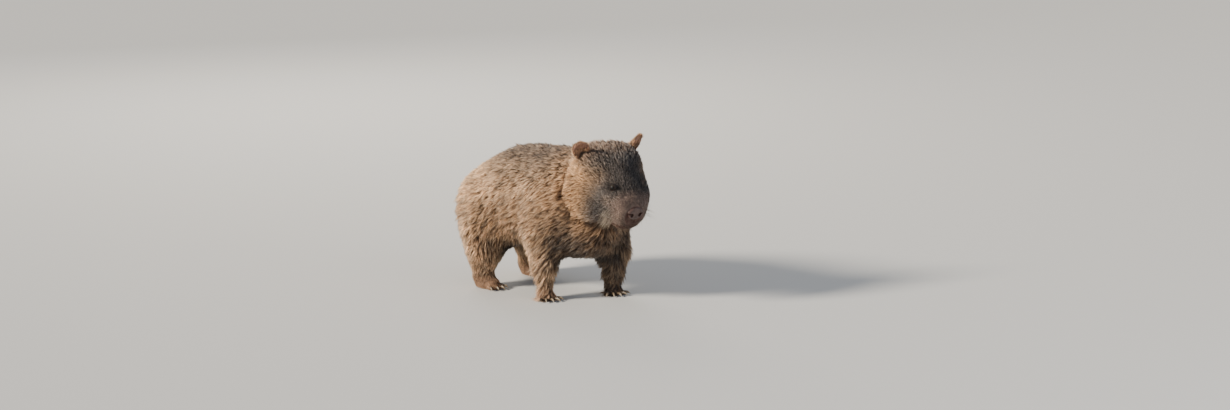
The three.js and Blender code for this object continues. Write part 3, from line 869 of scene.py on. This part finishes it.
# %% [markdown]
# ## Skin and coat material
# One group of shader nodes gives the colour of a hair: its place's own colour, warm and dark at
# the root, with each hair a little lighter or darker than the next, each clump painted lighter
# where it stands high and darker where it lies low, as shade, and some hairs pale at the tip. The
# skin takes the same colour at its darkest, so that no pale ground shows between the tufts.

# %% Helpers for materials
def paint(*shown):
    """A colour as it looks on a screen, for a socket."""
    return (*srgb(*shown), 1)


def object_place(tree):
    return out(add(tree, "ShaderNodeTexCoord"), "Object")


def own(tree, name, output="Fac"):
    """An attribute of the piece itself."""
    return out(add(tree, "ShaderNodeAttribute", attribute_name=name), output)


def blend(tree, share, a, b):
    """A mix of two colours."""
    made = add(tree, "ShaderNodeMix", {"Factor": share}, data_type="RGBA")
    for name, value in (("A", a), ("B", b)):
        feed(tree, next(s for s in made.inputs if s.name == name and s.type == "RGBA"), value)
    return next(s for s in made.outputs if s.type == "RGBA")


def color_ramp(tree, value, stops, interpolation="LINEAR"):
    """A colour for each value, through stops of place and colour."""
    made = add(tree, "ShaderNodeValToRGB", {"Fac": value})
    made.color_ramp.interpolation = interpolation
    elements = made.color_ramp.elements
    while len(elements) < len(stops):
        elements.new(0.5)
    for element, (position, color) in zip(elements, stops):
        element.position, element.color = position, (*color, 1)
    return out(made)


def curve_of(tree, value, stops):
    """A smooth curve through stops of place and height."""
    return color_ramp(tree, value, [(place, (height,) * 3) for place, height in stops], "EASE")


def grouped(tree, group, **values):
    """Places a group in a material."""
    return add(tree, "ShaderNodeGroup", values, node_tree=group)


def painted(tree, shader, color, height=None, strength=0.7, distance=0.6 * MM):
    """Feeds a shader its colour, and its normal from a height."""
    tree.links.new(color, shader.inputs["Base Color"])
    if height is not None:
        bump = add(tree, "ShaderNodeBump", {"Height": height, "Strength": strength, "Distance": distance})
        tree.links.new(out(bump), shader.inputs["Normal"])


def dressed(pieces, material):
    for piece in pieces:
        piece.data.materials.clear()
        piece.data.materials.append(material)
    print(len(pieces), "wear the material", material.name)


# %% The colour of a hair
PALE_HAIR = paint(242, 214, 174)
WARM_ROOT = (1.12, 0.92, 0.76)

hair_color, given, result = new_group(
    "ShaderNodeTree", "hair colour",
    {"Shade": "Color", "Tip": "Float", "Tone": "Float", "Clump": "Float"}, {"Color": "Color"})
tree, shade, tip = hair_color, out(given, "Shade"), out(given, "Tip")
drift = carried(tree, noise(tree, 22.0, 3.0, object_place(tree)), (0.8, 1.2), (0.3, 0.7))
lightness = curve_of(tree, tip, ((0.0, 0.16), (0.3, 0.55), (0.7, 1.1), (1.0, 1.5)))
tone = carried(tree, out(given, "Tone"), (0.5, 1.45))
# Painted shade: a clump that stands higher is lighter and shows more pale tips, and the hair low between
# clumps is darker.
clump = carried(tree, out(given, "Clump"), (0.58, 1.32))
warm = vector_math(tree, "MULTIPLY", shade, WARM_ROOT)
body = scaled(tree, blend(tree, tip, warm, shade), times(tree, lightness, tone, drift, clump))
pale_hairs = curve_of(tree, out(given, "Tone"), ((0.62, 0.0), (0.9, 1.0)))
pale_tip = times(tree, pale_hairs, math_node(tree, "POWER", tip, 2.0), clump, 0.65)
pale = scaled(tree, blend(tree, 0.4, scaled(tree, shade, 1.9), PALE_HAIR), drift)
tree.links.new(blend(tree, pale_tip, body, pale), result.inputs[0])

coat_material, tree, shader = new_material("coat", roughness=0.62, specular_ior_level=0.35,
                                           sheen_weight=0.12, sheen_roughness=0.5)
tone = math_node(tree, "FRACT", plus(tree, own(tree, "tone"), own(tree, "strand")))
painted(tree, shader, out(grouped(tree, hair_color, Shade=own(tree, "shade", "Color"),
                                  Tip=own(tree, "tip"), Tone=tone, Clump=own(tree, "clump"))))
print("the colour of a hair has", len(hair_color.nodes), "nodes")

# %% [markdown]
# Round the nostrils the skin is bare leather: small rounded bosses with creases between them,
# painted darker as shade, in patches of pink and red-brown. The skin here and the pad of the nose
# share one group.

# %% Leather and skin
LEATHER = {"Pink": paint(100, 76, 68), "Red": paint(72, 46, 38), "Scale": 620.0}

leather_group, given, result = new_group(
    "ShaderNodeTree", "nose leather", {"Pink": "Color", "Red": "Color", "Scale": "Float"},
    {"Color": "Color", "Height": "Float"})
tree, place = leather_group, object_place(leather_group)
bosses = add(tree, "ShaderNodeTexVoronoi", {"Vector": place, "Scale": out(given, "Scale")},
             feature="SMOOTH_F1")
patchy = curve_of(tree, noise(tree, 70.0, 4.0, place), ((0.36, 0.0), (0.62, 1.0)))
height = math_node(tree, "SUBTRACT", 1.0, out(bosses, "Distance"))
# Painted shade: the leather is darker in the creases between the bosses.
creases = curve_of(tree, height, ((0.3, 0.5), (0.85, 1.0)))
leather = blend(tree, patchy, out(given, "Red"), out(given, "Pink"))
tree.links.new(scaled(tree, leather, creases), result.inputs["Color"])
tree.links.new(height, result.inputs["Height"])

skin_material, tree, shader = new_material("skin", roughness=0.6, specular_ior_level=0.3)
color = grouped(tree, hair_color, Shade=own(tree, "shade", "Color"),
                Tip=carried(tree, own(tree, "bare"), (0.08, 0.42)), Tone=0.4, Clump=0.5)
leather = grouped(tree, leather_group, **LEATHER)
painted(tree, shader, blend(tree, own(tree, "leather"), out(color), out(leather, "Color")),
        out(leather, "Height"))
dressed([skin], skin_material)

# %% [markdown]
# ## Ears
# The ears are thin cups, so a sunk skin would lose them. Each keeps its solid's own surface,
# remeshed finely, with its foot drawn down through the coat into the head. Short hair covers the
# back, longer pale hair fringes the edge, and the inside is nearly bare.

# %% Ears
SIDES = {"right": -1, "left": 1}
EAR_CELL = 1.1 * MM
EAR_FOOT = 13 * MM  # the height over which the foot of the ear is drawn down
EAR_SUNK = 14 * MM
EAR_COLORS = {"back": srgb(170, 140, 114), "inside": srgb(190, 148, 116), "edge": srgb(208, 172, 136)}


def fine_copy(name, node, cell, rounds):
    """A solid's own surface, remeshed finely and smoothed."""
    made = new_object(name, copied([node]))
    with_modifier(made, "REMESH", mode="VOXEL", voxel_size=cell)
    keep_largest(made.data)
    return smoothed(made, rounds)


def ear(name, side):
    """The skin of an ear, with all that the coat's tree reads from it."""
    made = fine_copy(f"{name}_skin", name, EAR_CELL, 4)
    rise, facing = unit(np.array([-0.1, side * 0.3, 0.95])), unit(np.array([0.9, side * 0.45, 0]))
    points = points_of(made.data)
    height = points @ rise - (points @ rise).min()
    foot, low = ramp(height, EAR_FOOT, 0), ramp(height, 0.026, 0.008)
    set_points(made.data, points + unit(HEAD_CENTRE - points) * (foot * EAR_SUNK)[:, None])
    outward = normals_of(made.data)
    front = outward @ facing
    inside = ramp(front, 0.15, 0.6)
    edge = (ramp(height, 0.030, 0.045) + np.exp(-(front / 0.35) ** 2)).clip(0, 1)
    shade = mix(EAR_COLORS["back"], EAR_COLORS["inside"], inside[:, None])
    keep(made.data, "lie", unit(rise + outward * 0.25 * edge[:, None]))
    keep(made.data, "hair", mix(mix(mix(6.0, 7.0, inside), 7.5, edge), 12.0, low) * MM)
    keep(made.data, "rise", mix(1.6, 2.4, edge) * MM)
    keep(made.data, "cover", mix(300e3, 60e3, inside * (1 - 0.8 * edge) * (1 - low))
         * ramp(foot, 0.9, 0.5))
    keep(made.data, "shade", mix(shade, EAR_COLORS["edge"], 0.6 * edge[:, None]))
    keep(made.data, "inside", inside)
    keep(made.data, "band", np.zeros(len(made.data.polygons), np.int32), "FACE")
    unwrap(made)
    made.data.shade_smooth()
    return made


ears = {name: ear(f"ear_{name}", side) for name, side in SIDES.items()}
ear_material, tree, shader = new_material("ear skin", roughness=0.55, subsurface_weight=0.15,
                                          subsurface_scale=0.003)
bare = blend(tree, own(tree, "inside"), (0.08, 0.05, 0.035, 1), paint(158, 116, 96))
veins = noise(tree, 260.0, 4.0, object_place(tree))
painted(tree, shader, scaled(tree, bare, curve_of(tree, veins, ((0.3, 0.55), (0.7, 1.1)))),
        veins, 0.5, 0.8 * MM)
dressed(ears.values(), ear_material)

# %% [markdown]
# Now the tree runs once for each band of the skin and once for each ear, with its own seed, and
# the tufts that it chose from are taken away.

# %% Grow the coat
coat = [grow(f"coat_{band + 1}", skin, Tufts=tufts, Band=band, Spread=0.19, Tangle=0.30,
             Clumps=105.0, Seed=20 + band, Material=coat_material) for band in range(COAT_PIECES)]
coat += [grow(f"ear_{name}_coat", piece, Tufts=tufts, Band=0, Spread=0.26, Tangle=0.35,
              Clumps=120.0, Seed=40 + SIDES[name], Material=coat_material)
         for name, piece in ears.items()]
for piece in coat:
    piece.data.calc_loop_triangles()
    print(piece.name, len(piece.data.loop_triangles), "triangles")
for kind in list(tufts.objects):
    bpy.data.objects.remove(kind)
bpy.data.collections.remove(tufts)

# %% [markdown]
# ## Eyes
# A wombat's eye is small and dark, with a brown iris that is hard to tell from the pupil. Each
# ball lies where the solid has it, and a round mesh about the way it looks gives it its rings.

# %% Eyeballs
BALL = 10.0 * MM
RINGS_OF_BALL, SIDES_OF_BALL = 24, 36
IRIS = ((0.26, (0.0015, 0.001, 0.001)), (0.31, (0.014, 0.006, 0.003)), (0.45, (0.009, 0.004, 0.002)),
        (0.52, (0.004, 0.003, 0.002)), (0.7, (0.03, 0.02, 0.017)))  # as a share of 90 degrees


def ring_faces(rings, count, first=0, closed=False):
    """The faces between rings of points. A closed one also joins the last ring to the first."""
    faces = []
    for r in range(rings - 1 + closed):
        here, there = first + r * count, first + (r + 1) % rings * count
        for s in range(count):
            t = (s + 1) % count
            faces.append((here + s, here + t, there + t, there + s))
    return faces


def ring_mesh(name, rows, closed=False):
    """A smooth mesh over rings of points, with its faces turned outwards."""
    mesh = bpy.data.meshes.new(name)
    mesh.from_pydata([tuple(v) for row in rows for v in row], [],
                     ring_faces(len(rows), len(rows[0]), closed=closed))
    fixed = bmesh.new()
    fixed.from_mesh(mesh)
    bmesh.ops.remove_doubles(fixed, verts=fixed.verts, dist=1e-6)
    bmesh.ops.recalc_face_normals(fixed, faces=fixed.faces)
    fixed.to_mesh(mesh)
    fixed.free()
    mesh.shade_smooth()
    return mesh


def eye_frame(name):
    """The middle of the ball and its directions: out, towards the nose, and up."""
    middle = points_of(frame["nodes"][name].data)
    middle = (middle.min(axis=0) + middle.max(axis=0)) / 2
    side = 1 if middle[1] > HEAD_CENTRE[1] else -1
    look = unit(HEAD_FRAME @ np.array([0.46, side * 0.84, 0.26]))
    nose = from_head(NOSE) - middle
    ahead = unit(nose - look * (nose @ look))
    upward = np.cross(look, ahead) * -side
    return middle, look, ahead, upward


def on_ball(eye, turn, angle, radius):
    """A point at an angle from the way the eye looks."""
    middle, look, ahead, upward = eye
    ring = ahead * math.cos(turn) + upward * math.sin(turn)
    return middle + radius * (look * math.cos(angle) + ring * math.sin(angle))


def eyeball(name):
    eye = eye_frame(name)
    rows = [[on_ball(eye, 2 * math.pi * s / SIDES_OF_BALL, math.pi * max(r, 0.02) / RINGS_OF_BALL, BALL)
             for s in range(SIDES_OF_BALL)] for r in range(RINGS_OF_BALL)]
    rows.append([on_ball(eye, 0, math.pi, BALL)] * SIDES_OF_BALL)
    made = new_object(f"{name}_ball", ring_mesh(name, rows))
    toward = unit(points_of(made.data) - eye[0]) @ eye[1]
    keep(made.data, "gaze", np.degrees(np.arccos(np.clip(toward, -1, 1))))
    return made


eyes = [eyeball(f"eye_{name}") for name in SIDES]
eye_material, tree, shader = new_material("eye", roughness=0.3, specular_ior_level=0.1,
                                          coat_weight=0.35, coat_roughness=0.02)
gaze = math_node(tree, "DIVIDE", own(tree, "gaze"), 90.0)
painted(tree, shader, color_ramp(tree, gaze, IRIS))
dressed(eyes, eye_material)

# %% [markdown]
# The lids are a closed band that hugs the ball, open in the shape of an almond, with a fold
# above. A section of the band is given as steps away from the edge, and it is swept round.

# %% Lids
LID_CORNERS = {"nose": 52, "back": 47, "up": 36, "down": 33}  # how far each side opens, in degrees
LID_SECTION = ((0, 0.05), (1.2, 0.55), (4, 0.9), (8, 0.95), (11, 0.55), (15, 1.15), (22, 1.1),
               (32, 0.2), (44, -1.2), (42, -1.5), (26, -0.8), (8, -0.1))  # degrees past the edge, mm off
ALMOND = 1.55  # 2 would be an ellipse
LID_SIDES = 56


def lid_edge(across, upright):
    """How far from the way the eye looks its lids open on this side, in degrees."""
    wide = LID_CORNERS["nose" if across > 0 else "back"]
    tall = LID_CORNERS["up" if upright > 0 else "down"]
    return ((abs(across) / wide) ** ALMOND + (abs(upright) / tall) ** ALMOND) ** (-1 / ALMOND)


def lids(name):
    eye = eye_frame(name)
    rows = []
    for past, off in LID_SECTION:
        row = []
        for s in range(LID_SIDES):
            turn = 2 * math.pi * s / LID_SIDES
            opening = lid_edge(math.cos(turn), math.sin(turn))
            fold = 1 + 0.25 * max(math.sin(turn), 0)
            row.append(on_ball(eye, turn, math.radians(opening + past), BALL + off * fold * MM))
        rows.append(row)
    made = new_object(f"{name}_lids", ring_mesh(name, rows, closed=True))
    return with_modifier(made, "SUBSURF", levels=1, render_levels=1)


eyelids = [lids(f"eye_{name}") for name in SIDES]
lid_material, tree, shader = new_material("lid", roughness=0.6, specular_ior_level=0.25)
wrinkles = noise(tree, 700.0, 3.0, object_place(tree))
painted(tree, shader, blend(tree, wrinkles, (0.005, 0.004, 0.003, 1), (0.018, 0.012, 0.010, 1)),
        wrinkles, 0.6)
dressed(eyelids, lid_material)

# %% [markdown]
# ## Nose
# The pad of the nose is bare, leathery and red-brown. The solid's own shape is remeshed finely,
# its back is pushed into the muzzle, and it wears the small bosses of nose leather.

# %% Nose
NOSE_CELL = 0.8 * MM
NOSE_ROOT = 5 * MM  # how far the back of the pad goes into the muzzle
nose = fine_copy("nose_pad", "nose", NOSE_CELL, 5)
forward = HEAD_FRAME[:, 0]
behind = ramp(normals_of(nose.data) @ forward, 0.0, -0.5)
set_points(nose.data, points_of(nose.data) - forward * (behind * NOSE_ROOT)[:, None])
nose.data.shade_smooth()
nose_material, tree, shader = new_material("nose", roughness=0.5, coat_weight=0.25, coat_roughness=0.3)
leather = grouped(tree, leather_group, **LEATHER)
painted(tree, shader, out(leather, "Color"), out(leather, "Height"))
dressed([nose], nose_material)

# %% [markdown]
# ## Claws
# Five on each forefoot and four on each hind foot. The solids have their true places and bend
# with few faces, so each is rounded by subdivision, pushed at its root into the toe, and given
# horn that is streaked along its length and pale towards its worn tip.

# %% Claws
CLAW_ROOT = 5 * MM


def claw(name):
    """A claw that starts inside its toe."""
    made = new_object(f"{name}_horn", copied([name]))
    with_modifier(made, "SUBSURF", levels=2, render_levels=2)
    points = points_of(made.data)
    foot = np.mean(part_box(name[:4] + "leg" + name[8:-2]), axis=0)
    foot[2] = points[:, 2].mean()
    reach = points @ unit(points.mean(axis=0) - foot)
    along = (reach - reach.min()) / np.ptp(reach)
    inward = unit(foot - points.mean(axis=0)) * CLAW_ROOT
    set_points(made.data, points + inward * ramp(along, 0.22, 0.0)[:, None])
    keep(made.data, "along", along)
    made.data.shade_smooth()
    return made


claws = {name: claw(name) for name in frame["nodes"] if "claw_" in name}
claw_material, tree, shader = new_material("claw", roughness=0.38, coat_weight=0.2, coat_roughness=0.25)
stretched = add(tree, "ShaderNodeMapping", {"Vector": object_place(tree), "Scale": (60, 900, 500)})
streaks = noise(tree, 1.0, 3.0, out(stretched))
horn = blend(tree, own(tree, "along"), paint(80, 66, 54), paint(156, 140, 118))
painted(tree, shader, scaled(tree, horn, curve_of(tree, streaks, ((0.3, 0.6), (0.7, 1.1)))),
        streaks, 0.4, 0.4 * MM)
dressed(claws.values(), claw_material)

# %% [markdown]
# ## Whiskers
# Stiff hairs stand out of the pads beside the nose and hang pale from the corners of the mouth,
# and a few rise above each eye.

# %% Whiskers
WHISKER_SIDES, WHISKER_STEPS = 4, 9
WHISKER_FIELDS = (  # how many, middle and spread in the head's frame, way, length, droop, thickness, in mm
    ("pad", 14, (98, 25, -20), (8, 3, 8), (-0.1, 0.95, -0.1), 34, 0.35, 0.20),
    ("cheek", 34, (80, 38, -16), (16, 5, 16), (-0.35, 0.35, -0.9), 32, 0.30, 0.34),
    ("corner", 34, (80, 36, -36), (13, 5, 8), (-0.35, 0.2, -0.95), 30, 0.25, 0.34),
    ("brow", 5, (62, 38, 52), (7, 4, 3), (-0.3, 0.5, 0.8), 22, 0.25, 0.16),
    ("chin", 12, (84, 12, -64), (14, 10, 4), (-0.1, 0.1, -0.9), 15, 0.1, 0.22),
)


def whisker(root, way, length, droop, thick):
    """Rings of points along a hair that leaves the skin one way and sags."""
    rows = []
    for step in range(WHISKER_STEPS):
        t = step / (WHISKER_STEPS - 1)
        middle = root + way * length * t + np.array([0, 0, -droop * length * t * t])
        aim = unit(way + np.array([0, 0, -2 * droop * t]))
        across = unit(np.cross(aim, [0, 0, 1.0]))
        above = np.cross(across, aim)
        girth = thick * (1 - 0.9 * t)
        rows.append([middle + girth * (across * math.cos(a) + above * math.sin(a))
                     for a in 2 * math.pi * np.arange(WHISKER_SIDES) / WHISKER_SIDES])
    return rows


def whisker_field(label, count, middle, spread, way, length, droop, thick, random):
    """Whiskers on both sides of the head, each rooted in the skin nearest to its place."""
    verts, faces, tips = [], [], []
    for side in SIDES.values():
        flip = np.array([1, side, 1])
        for _ in range(count):
            target = (np.array(middle) + random.uniform(-1, 1, 3) * spread) * flip * MM
            _, spot, normal, _ = skin.closest_point_on_mesh(Vector(from_head(target)))
            aim = HEAD_FRAME @ (unit(np.array(way) + random.uniform(-0.22, 0.22, 3)) * flip)
            aim = unit(aim + 0.25 * np.array(normal))
            rows = whisker(np.array(spot) - np.array(normal) * MM, aim,
                           length * MM * random.uniform(0.6, 1.1), droop, thick * MM)
            first = len(verts)
            for number, row in enumerate(rows):
                verts += [tuple(v) for v in row]
                tips += [number / (len(rows) - 1)] * len(row)
            last = len(verts) - WHISKER_SIDES
            faces += ring_faces(len(rows), WHISKER_SIDES, first)
            faces += [tuple(range(first, first + WHISKER_SIDES))[::-1],
                      tuple(range(last, last + WHISKER_SIDES))]
    mesh = bpy.data.meshes.new(f"whiskers_{label}")
    mesh.from_pydata(verts, [], faces)
    keep(mesh, "tip", np.array(tips))
    mesh.shade_smooth()
    return new_object(f"whiskers_{label}", mesh)


bpy.context.view_layer.update()
chance = np.random.default_rng(11)
whiskers = [whisker_field(*field, random=chance) for field in WHISKER_FIELDS]
whisker_material, tree, shader = new_material("whisker", roughness=0.4)
painted(tree, shader, blend(tree, own(tree, "tip"), (0.10, 0.075, 0.055, 1), (0.44, 0.36, 0.27, 1)))
dressed(whiskers, whisker_material)

# %% [markdown]
# ## Put on the body
# The animal has no joints, so every piece rides on its one body. The pieces are listed by what
# they are made of, and the solids that they cover are hidden.

# %% Put on the body
slots = {"coat": [skin] + coat + whiskers + list(ears.values()), "eye": eyes + eyelids,
         "nose": [nose], "claw": list(claws.values())}
for slot, pieces in slots.items():
    for piece in pieces:
        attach(piece, "root")
    print(len(pieces), "pieces in the slot", slot)
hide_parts(*FLESH)
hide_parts("nose")
for name, piece in ears.items():
    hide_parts(f"ear_{name}")
for name, ball in zip(SIDES, eyes):
    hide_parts(f"eye_{name}")
for name, piece in claws.items():
    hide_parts(name)
